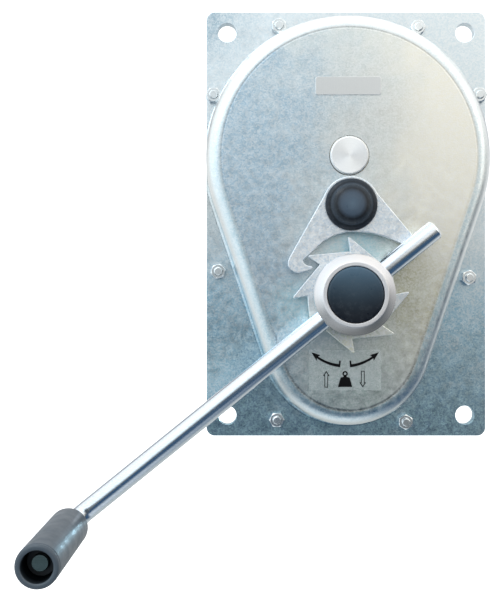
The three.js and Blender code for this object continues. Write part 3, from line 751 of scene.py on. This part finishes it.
def screw_shape(x, z):
    """A countersunk screw: a socket head flush behind the plate and a threaded end in front of the nut."""
    socket = [
        hex_ring(x, z, 2.7 - 3.2, 5, 0, count=48),
        hex_ring(x, z, -0.3, 5, 0, count=48),
        circle_ring(x, z, -0.3, 6.9, 48),
        circle_ring(x, z, -0.6, 7.4, 48),
        circle_ring(x, z, -3.8, 4.0, 48),
        circle_ring(x, z, -9.0, 4.0, 48),
    ]
    floor = [hex_ring(x, z, -3.0, 5, 0, count=48)]
    return join(loft(floor + socket[1:], cap_end=False), thread(x, z, 4.0, -9.0, -17.9))


def build_plate_and_cover():
    piece("plate_rear", base_plate_shape(), ZINC, "housing", ["base_plate"])
    piece("cover_pressing", cover_shape(), ZINC, "housing", ["front_cover"], smooth=40)
    for number, (x, z, turn) in enumerate(COVER_SCREWS, 1):
        nut = hex_block(x, z, FLANGE, FLANGE - 6.5, 13, turn, hole=4.0)
        piece(f"nut_{number}", nut, FASTENER, "housing", [f"cover_nut_{number}"], smooth=25)
        screw = screw_shape(x, z)
        piece(f"screw_{number}", screw, FASTENER, "housing", [f"cover_screw_{number}"])


# ---------------------------------------------------------------- bushes, drum and gears


def turned_piece(name, profile, z, material, body, node, edge=0.5, x=0.0, segments=96):
    closed = profile[0] == profile[-1]
    if closed:
        points = soften(profile[:-1], edge, 3, closed=True)
        points.append(points[0])
    else:
        points = soften(profile, edge, 3)
    return piece(name, revolve(points, x, z, segments), material, body, [node])


def ring_profile(inner, outer, rear, front):
    return [(inner, rear), (outer, rear), (outer, front), (inner, front), (inner, rear)]


def build_bushes():
    for name, z, bore, sleeve, collar in (
        ("drum_bush_rear", GEAR_Z, 18.5, 23, 29),
        ("pinion_bush_rear", PINION_Z, 9.3, 13, 17),
    ):
        profile = [
            (bore, -0.3),
            (sleeve, -0.3),
            (sleeve, -6),
            (collar, -6),
            (collar, -8.5),
            (bore, -8.5),
            (bore, -0.3),
        ]
        turned_piece(name + "_turned", profile, z, BRONZE, "housing", name)
    finish_node("drum_bush_front", BRONZE)


def build_drum():
    shaft = [(0, -41.5), (16.9, -41.5), (18.2, -40.2), (18.2, 88.5), (16.7, 90), (0, 90)]
    turned_piece("shaft_turned", shaft, GEAR_Z, SHAFT_END, "drum", "main_shaft", 0.4)
    drum = [
        (18.5, 6),
        (85, 6),
        (85, 11),
        (47, 11),
        (44, 14),
        (44, 78),
        (47, 81),
        (85, 81),
        (85, 86),
        (18.5, 86),
        (18.5, 6),
    ]
    turned_piece("drum_turned", drum, GEAR_Z, ZINC, "drum", "rope_drum", 1.2, segments=160)
    clip = arc(0, GEAR_Z, 22.2, 60, 282, 336) + arc(0, GEAR_Z, 17.2, 60, 282, 336)[::-1]
    clip_shape = cut_plate(clip, 88.1, 86.3, edge=0.25)
    piece("drum_clip", clip_shape, STEEL, "drum", ["drum_circlip"])
    bar = cut_plate(rounded_rectangle(34, 15, 3, 0, GEAR_Z + 62), 91, 86, edge=0.8)
    piece("rope_clamp_bar", bar, FASTENER, "drum", ["rope_clamp"])
    for number, x in ((1, -10), (2, 10)):
        head = hex_block(x, GEAR_Z + 62, 91, 96.5, 13, 30)
        end = thread(x, GEAR_Z + 62, 4.0, 81.0, 79.0)
        name = f"rope_clamp_screw_{number}"
        shape = join(head, end)
        piece(name + "_fine", shape, FASTENER, "drum", [name], smooth=25)
    for name in ("main_gear", "gear_key", "gear_circlip", "drum_key"):
        finish_node(name, GEAR_STEEL)


# ---------------------------------------------------------------- brake, ratchet and pawl


def ratchet_outline():
    """Eight leaning teeth; each blunt side faces anticlockwise and is slightly undercut."""
    points = []
    for tooth in range(8):
        tip = 93.4 + 45 * tooth
        for radius, angle in ((53.0, tip - 1.8), (53.0, tip), (40.0, tip - 2.5), (40.0, tip - 1.0)):
            points.append(polar(0, PINION_Z, radius, angle))
    return soften(points, 0.9, 3, closed=True)


def pawl_outline():
    """The anchor-shaped pawl: a hooked arm to the left and a shorter nose to the right of its eye."""
    eye = arc(0, 0, 26, 40, 24.6, 134.9)
    heel = [(-56.7, -48.7), (-58.1, -52.5), (-57.6, -57.0), (-54.6, -60.7), (-49.7, -62.8), (-45.5, -62.2)]
    hook = [(-37.7, -59.7), (-35.2, -57.9), (-36.3, -56.5)]
    notch = [(-40.3, -55.9), (-43.2, -54.3), (-44.3, -52.0), (-43.6, -50.3), (-41.9, -48.7)]
    inside = [(-37, -44.2), (-31.4, -38.8), (-26, -34.2), (-20.1, -30.4), (-14.5, -27.9), (-8.8, -26.2)]
    belly = [(-3, -25.2), (2.5, -24.9), (11, -25.2), (19.4, -26.2), (26.5, -28), (33.4, -30.4), (46.1, -36)]
    nose = [(58, -46), (64, -37), (55.3, -26.9)]
    loop = eye + heel + hook + notch + inside + belly + nose
    return [(x, z + PAWL_Z) for x, z in soften(loop, 1.6, 3, closed=True)]


def build_brake():
    wheel = cut_plate(ratchet_outline(), -47, -55, [arc(0, PINION_Z, 16.4, 48)], edge=0.6)
    piece("ratchet_fine", wheel, ZINC_LIGHT, "ratchet", ["ratchet_wheel"], smooth=25)
    flange = ring_profile(10.3, 35, -41.2, -44.7)
    turned_piece("brake_flange_turned", flange, PINION_Z, STEEL, "pinion", "brake_flange")
    for side, rear in (("rear", -44.7), ("front", -55.2)):
        body = "pinion" if side == "rear" else "hub"
        lining = ring_profile(16.4, 33, rear, rear - 2.1)
        name = f"friction_disc_{side}"
        turned_piece(name + "_fine", lining, PINION_Z, FRICTION, body, name, 0.2)
    finish_node("pinion_shaft", GEAR_STEEL)
    bush = [(12.8, -35), (15, -35), (15, -39), (19, -39), (19, -40.6), (12.8, -40.6), (12.8, -35)]
    turned_piece("pinion_bush_turned", bush, PINION_Z, BRONZE, "housing", "pinion_bush_front")


def build_pawl():
    body = cut_plate(pawl_outline(), -47, -55, [arc(0, PAWL_Z, 8.4, 48)], edge=0.8)
    piece("pawl_fine", body, ZINC_LIGHT, "pawl", ["pawl"], smooth=25)
    spacer = ring_profile(8.4, 13, -39, -46.7)
    turned_piece("pawl_spacer_turned", spacer, PAWL_Z, STEEL, "housing", "pawl_spacer")
    cap = [
        (0, -65.1),
        (6, -64.95),
        (11, -64.3),
        (15, -63.1),
        (17.4, -61.9),
        (18.1, -61.0),
        (18.3, -60.4),
        (20.5, -60.1),
        (22.8, -59.0),
        (23.9, -57.2),
        (24.0, -55.3),
        (21.5, -55.3),
        (21.3, -57.3),
        (16, -59.5),
        (15.5, -60.1),
        (0, -62.9),
    ]
    turned_piece("pivot_cap", cap, PAWL_Z, PIVOT_CAP, "housing", "pawl_cap", 0.6)
    for name in ("pawl_pin", "pawl_spring", "pawl_washer", "pawl_circlip"):
        finish_node(name, STEEL)


# ---------------------------------------------------------------- crank


def hoop(centre, direction, radius, count=56):
    """A circle of points about a centre, square to a direction that lies in the rod's plane."""
    side = OUT.cross(FRONT)
    other = direction.cross(side)
    return [centre + side * px + other * pz for px, pz in arc(0, 0, radius, count)]


def along_rod(distance):
    return Vector((0, ROD_Y, PINION_Z)) + OUT * distance


def rod_shape():
    rounded_end = ((0, 1.6), (0.25, 1.1), (1.4, 0.1), (2, 0))
    rings = [hoop(along_rod(d - ROD_STUB), OUT, ROD_R - less) for d, less in rounded_end]
    rings += [hoop(along_rod(d), OUT, ROD_R) for d in (-40, 40, 150, 260)]
    for k in range(19):
        angle = math.pi / 2 * k / 18
        direction = OUT * math.cos(angle) + FRONT * math.sin(angle)
        centre = along_rod(ROD_REACH - ROD_BEND + ROD_BEND * math.sin(angle))
        centre += FRONT * ROD_BEND * (1 - math.cos(angle))
        rings.append(hoop(centre, direction, ROD_R))
    for y, radius in ((-93.5, 9.0), (-93.7, 8.8), (-93.7, 6.5), (-202.6, 6.5), (-203.0, 6.1)):
        rings.append(hoop(Vector((GRIP_X, y, GRIP_Z)), FRONT, radius))
    return loft(rings)


def bore_through(obj, radius):
    """Cuts the rod's cross-bore through the hub."""
    cutter_mesh = bpy.data.meshes.new("cutter")
    vertices, faces = loft([hoop(along_rod(-60), OUT, radius, 72), hoop(along_rod(60), OUT, radius, 72)])
    cutter_mesh.from_pydata([tuple(c * MM for c in v) for v in vertices], [], faces)
    cutter = bpy.data.objects.new("cutter", cutter_mesh)
    bpy.context.scene.collection.objects.link(cutter)
    tidy_normals(cutter)
    cut = obj.modifiers.new("cross_bore", "BOOLEAN")
    cut.object = cutter
    cut.solver = "EXACT"
    bpy.context.view_layer.update()
    evaluated = obj.evaluated_get(bpy.context.evaluated_depsgraph_get())
    result = bpy.data.meshes.new_from_object(evaluated)
    obj.modifiers.clear()
    obj.data = result
    bpy.data.objects.remove(cutter)
    shade(result)


def build_crank():
    hub = [
        (10.6, -45.2),
        (16, -45.2),
        (16, -57.3),
        (35.3, -57.3),
        (36.3, -58.3),
        (36.3, -84.7),
        (29.0, -92),
        (25.3, -92),
        (25.2, -89.0),
        (10.6, -89.0),
        (10.6, -45.2),
    ]
    turned = turned_piece("hub_turned", hub, PINION_Z, HUB_METAL, "hub", "crank_hub", 0.7)
    bore_through(turned, ROD_R + 0.3)
    cap = [(0, -92.0), (19, -91.95), (23.0, -91.8), (24.4, -91.4), (24.9, -90.6), (24.9, -89.5), (0, -89.5)]
    turned_piece("hub_cap_disc", cap, PINION_Z, HUB_CAP, "hub", "hub_cap", 0.4)
    finish_node("rod_clamp_screw", STEEL)
    piece("rod_bar", rod_shape(), ROD_METAL, "rod", ["crank_rod"])
    grip = [
        (6.9, -94.3),
        (13.5, -94.3),
        (15.8, -95.5),
        (17, -98.5),
        (17, -209.5),
        (16.5, -210.4),
        (16.5, -211.0),
        (16.9, -211.6),
        (16.6, -213.2),
        (15.4, -214),
        (13.2, -214),
        (12.2, -213.0),
        (12.0, -197),
        (6.9, -197),
        (6.9, -94.3),
    ]
    turned_piece("grip_sleeve", grip, GRIP_Z, GRIP_GREY, "grip", "crank_grip", 1.0, GRIP_X)
    washer = ring_profile(6.6, 11, -197.3, -198.5)
    turned_piece("grip_washer_fine", washer, GRIP_Z, DARK_STEEL, "rod", "grip_washer", 0.3, GRIP_X)


# ---------------------------------------------------------------- label and badge


LABEL_X, LABEL_Z = middle("pictogram_label", "X"), middle("pictogram_label", "Z")
STROKE = 0.7


def curved_arrow(side):
    """A thick bent arrow: a band on an arc, with a barbed head outside and a short square foot inside."""
    x, z, radius = LABEL_X, LABEL_Z + 48.7, 45.0
    foot, foot_width, neck, tip = 5.8, 2.1, 35.0, 44.5  # degrees from straight down
    steps = 12

    def at(distance, angle):
        return polar(x, z, distance, 270 + side * angle)

    angles = [foot + foot_width + (neck - foot - foot_width) * k / steps for k in range(steps + 1)]
    inner = [at(radius - 1.4 + 0.4 * k / steps, angle) for k, angle in enumerate(angles)]
    outer = [at(radius + 1.4 - 0.4 * k / steps, angle) for k, angle in enumerate(angles)]
    head = [at(radius - 3.2, neck - 1.5), at(radius, tip), at(radius + 3.2, neck - 1.5)]
    end = [at(radius + 1.4, foot), at(radius - 4.8, foot), at(radius - 4.8, foot + foot_width)]
    return inner + head + outer[::-1] + end


def straight_arrow(x, up):
    """The outline of a hollow arrow, as an outer loop and a hole."""
    sign = 1 if up else -1
    start = LABEL_Z - 8.5 - sign * 7.8

    def loop(half, wing, base, neck, tip):
        right = [(half, base), (half, neck), (wing, neck), (0, tip)]
        points = right + [(-across, along) for across, along in right[-2::-1]]
        return [(x + across, start + sign * along) for across, along in points]

    return loop(1.7, 3.1, 0, 10.8, 15.6), loop(1.7 - STROKE, 1.6, STROKE, 10.8 + STROKE, 15.6 - 1.5)


def weight_outline(x, z):
    """A plain weight: a tapered block under a ring handle."""
    right = [(6.7, 0.0), (4.4, 8.4), (3.6, 9.0), (1.3, 9.4), (1.3, 10.8)]
    block = [(x + across, z + along) for across, along in right]
    block += [(x - across, z + along) for across, along in reversed(right)]
    return soften(block, 0.5, 3, closed=True)


def build_label():
    front = FACE - 0.3
    width, height = size("pictogram_label", "X"), size("pictogram_label", "Z")
    sheet = rounded_rectangle(width, height, 1.5, LABEL_X, LABEL_Z)
    film = cut_plate(sheet, FACE - 0.02, front, edge=0.1, steps=1)
    piece("label_film_sheet", film, FILM, "housing", ["pictogram_label"])
    weight_x, weight_z = LABEL_X, LABEL_Z - 15.8
    ring_z = weight_z + 12.4
    outlines = [(curved_arrow(side), []) for side in (-1, 1)]
    for x, up in ((LABEL_X - 17.6, True), (LABEL_X + 16.5, False)):
        outer, hole = straight_arrow(x, up)
        outlines.append((outer, [hole]))
    outlines.append((weight_outline(weight_x, weight_z), []))
    outlines.append((arc(weight_x, ring_z, 2.5, 32), [arc(weight_x, ring_z, 1.2, 24)]))
    ink_front = front - 0.06
    signs = [cut_plate(outline, front, ink_front, holes, edge=0.01, steps=0) for outline, holes in outlines]
    piece("label_signs", join(*signs), INK, "housing")
    width, height = size("blank_plate", "X"), size("blank_plate", "Z")
    outline = rounded_rectangle(width, height, 2.2, BADGE_X, BADGE_Z)
    badge = cut_plate(outline, FACE, span("blank_plate", "Y")[0], edge=0.3)
    piece("badge_plain", badge, BADGE, "housing", ["blank_plate"])


# ---------------------------------------------------------------- stage, light and camera

# The light in front of the winch, from low to high.
FRONT_LIGHT = [
    (0.0, (0.04, 0.09, 0.17)),
    (0.15, (0.06, 0.10, 0.16)),
    (0.3, (0.12, 0.14, 0.15)),
    (0.42, 0.27),
    (0.52, 0.46),
    (0.66, 0.86),
    (1.0, 1.3),
]
# How much higher the front light reaches on each side, from left to right.
SIDE_LIFT = [(0.2, 0.75), (0.4, 0.3), (0.5, 0.0), (0.64, 0.28), (0.8, 0.12)]


def build_stage():
    """A pale floor that curves up into a backdrop."""
    path = [(-2500, -420), (900, -420)]
    path += [(900 + 500 * math.sin(a), 80 - 500 * math.cos(a)) for a in quarter(16)]
    path += [(1400, 3500)]
    vertices = [(x, y, z) for y, z in path for x in (-3500, 3500)]
    faces = [(2 * i, 2 * i + 1, 2 * i + 3, 2 * i + 2) for i in range(len(path) - 1)]
    mesh = bpy.data.meshes.new("floor")
    mesh.from_pydata([tuple(c * MM for c in v) for v in vertices], [], faces)
    floor = bpy.data.objects.new("floor", mesh)
    bpy.context.scene.collection.objects.link(floor)
    mesh.materials.append(floor_white())


def floor_white():
    """A pale floor to the camera; the metal does not see it, only the studio round it."""
    f = Finish("floor_white", roughness=0.8, color=(0.6, 0.6, 0.6))
    f.shader.inputs["Emission Color"].default_value = (1, 1, 1, 1)
    f.shader.inputs["Emission Strength"].default_value = 0.9
    unseen = f.node("ShaderNodeBsdfTransparent")
    choose = f.node("ShaderNodeMixShader")
    f.feed(choose.inputs[0], f.node("ShaderNodeLightPath").outputs["Is Camera Ray"])
    f.feed(choose.inputs[1], unseen.outputs[0])
    f.feed(choose.inputs[2], f.shader.outputs[0])
    f.feed(f.tree.nodes["Material Output"].inputs["Surface"], choose.outputs[0])
    return f.material


def area_light(name, place, target, size, power, colour, spread=180):
    light = bpy.data.lights.new(name, "AREA")
    light.shape = "RECTANGLE"
    light.size, light.size_y = size
    light.energy = power
    light.color = colour
    light.spread = math.radians(spread)
    obj = bpy.data.objects.new(name, light)
    obj.location = place
    obj.rotation_euler = (Vector(target) - Vector(place)).to_track_quat("-Z", "Y").to_euler()
    bpy.context.scene.collection.objects.link(obj)


def build_world():
    """Studio surroundings: white behind and below, bright above and to the right, dark low in front.

    The camera sees a plain pale room instead of them.
    """
    world = bpy.data.worlds.new("studio")
    bpy.context.scene.world = world
    world.use_nodes = True
    n = Nodes(world.node_tree)
    direction = n.node("ShaderNodeTexCoord").outputs["Generated"]
    across, depth, height = (n.part(direction, axis) for axis in "XYZ")
    lift = n.ramp(n.scaled(across, -1.0, 1.0), SIDE_LIFT)
    brightness = n.scaled(n.maths("ADD", height, lift), -0.3, 0.7)
    front = n.ramp(brightness, FRONT_LIGHT)
    tint = n.ramp(n.scaled(across, -0.3, 0.4), [(0.2, (0.86, 0.95, 1.0)), (0.8, (1.0, 0.99, 0.95))])
    front = n.blend(1.0, front, tint, "MULTIPLY")
    ground = n.maths("MULTIPLY", n.scaled(height, -0.58, -0.84), n.scaled(across, 0.6, 0.25))
    front = n.blend(ground, front, (0.85, 0.92, 0.97))
    behind = n.ramp(n.scaled(height, -0.8, 0.4), [(0.0, (0.50, 0.54, 0.54)), (1.0, 1.0)])
    colour = n.blend(n.scaled(depth, -0.2, 0.3), front, behind)
    beyond = n.scaled(depth, 0.35, 0.6, smooth=True)
    upper_rim = n.maths("MULTIPLY", beyond, n.scaled(depth, 0.95, 0.7, smooth=True))
    upper_rim = n.maths("MULTIPLY", upper_rim, n.scaled(height, 0.1, 0.3))
    colour = n.blend(upper_rim, colour, (0.30, 0.34, 0.38))
    seen = n.node("ShaderNodeLightPath").outputs["Is Camera Ray"]
    background = n.tree.nodes["Background"]
    n.feed(background.inputs["Color"], n.blend(seen, colour, (0.95, 0.95, 0.95)))
    n.feed(background.inputs["Strength"], 1.0)


def build_camera():
    camera = bpy.data.cameras.new("photo_view")
    camera.lens = 53.3
    camera.sensor_width = 36.0
    camera.clip_end = 50.0
    obj = bpy.data.objects.new("photo_view", camera)
    obj.location = (CAMERA_X * MM, CAMERA_Y * MM, CAMERA_Z * MM)
    obj.rotation_euler = (math.pi / 2, 0, 0)
    bpy.context.scene.collection.objects.link(obj)
    bpy.context.scene.camera = obj


def build_light():
    area_light("key_top_left", (-0.9, -1.2, 1.3), (0, 0, 0), (1.2, 0.8), 6, (1.0, 1.0, 1.0))
    area_light("fill_right", (1.3, -1.1, 0.3), (0, 0, 0), (0.8, 1.2), 3, (1.0, 0.95, 0.86))
    grip = (GRIP_X * MM, -0.16, GRIP_Z * MM)
    area_light("grip_streak", (0.17, 1.1, -0.15), grip, (0.10, 0.45), 0.03, (0.5, 0.82, 1.0), spread=14)
    area_light("back_sky", (0.0, 0.9, 1.6), (0, 1.2, 0), (2.4, 1.2), 6, (1.0, 1.0, 1.0))
    view = bpy.context.scene.view_settings
    view.view_transform = "Standard"
    view.look = "None"
    view.exposure = 0.0


build_plate_and_cover()
build_bushes()
build_drum()
build_brake()
build_pawl()
build_crank()
build_label()
build_stage()
build_world()
build_light()
build_camera()
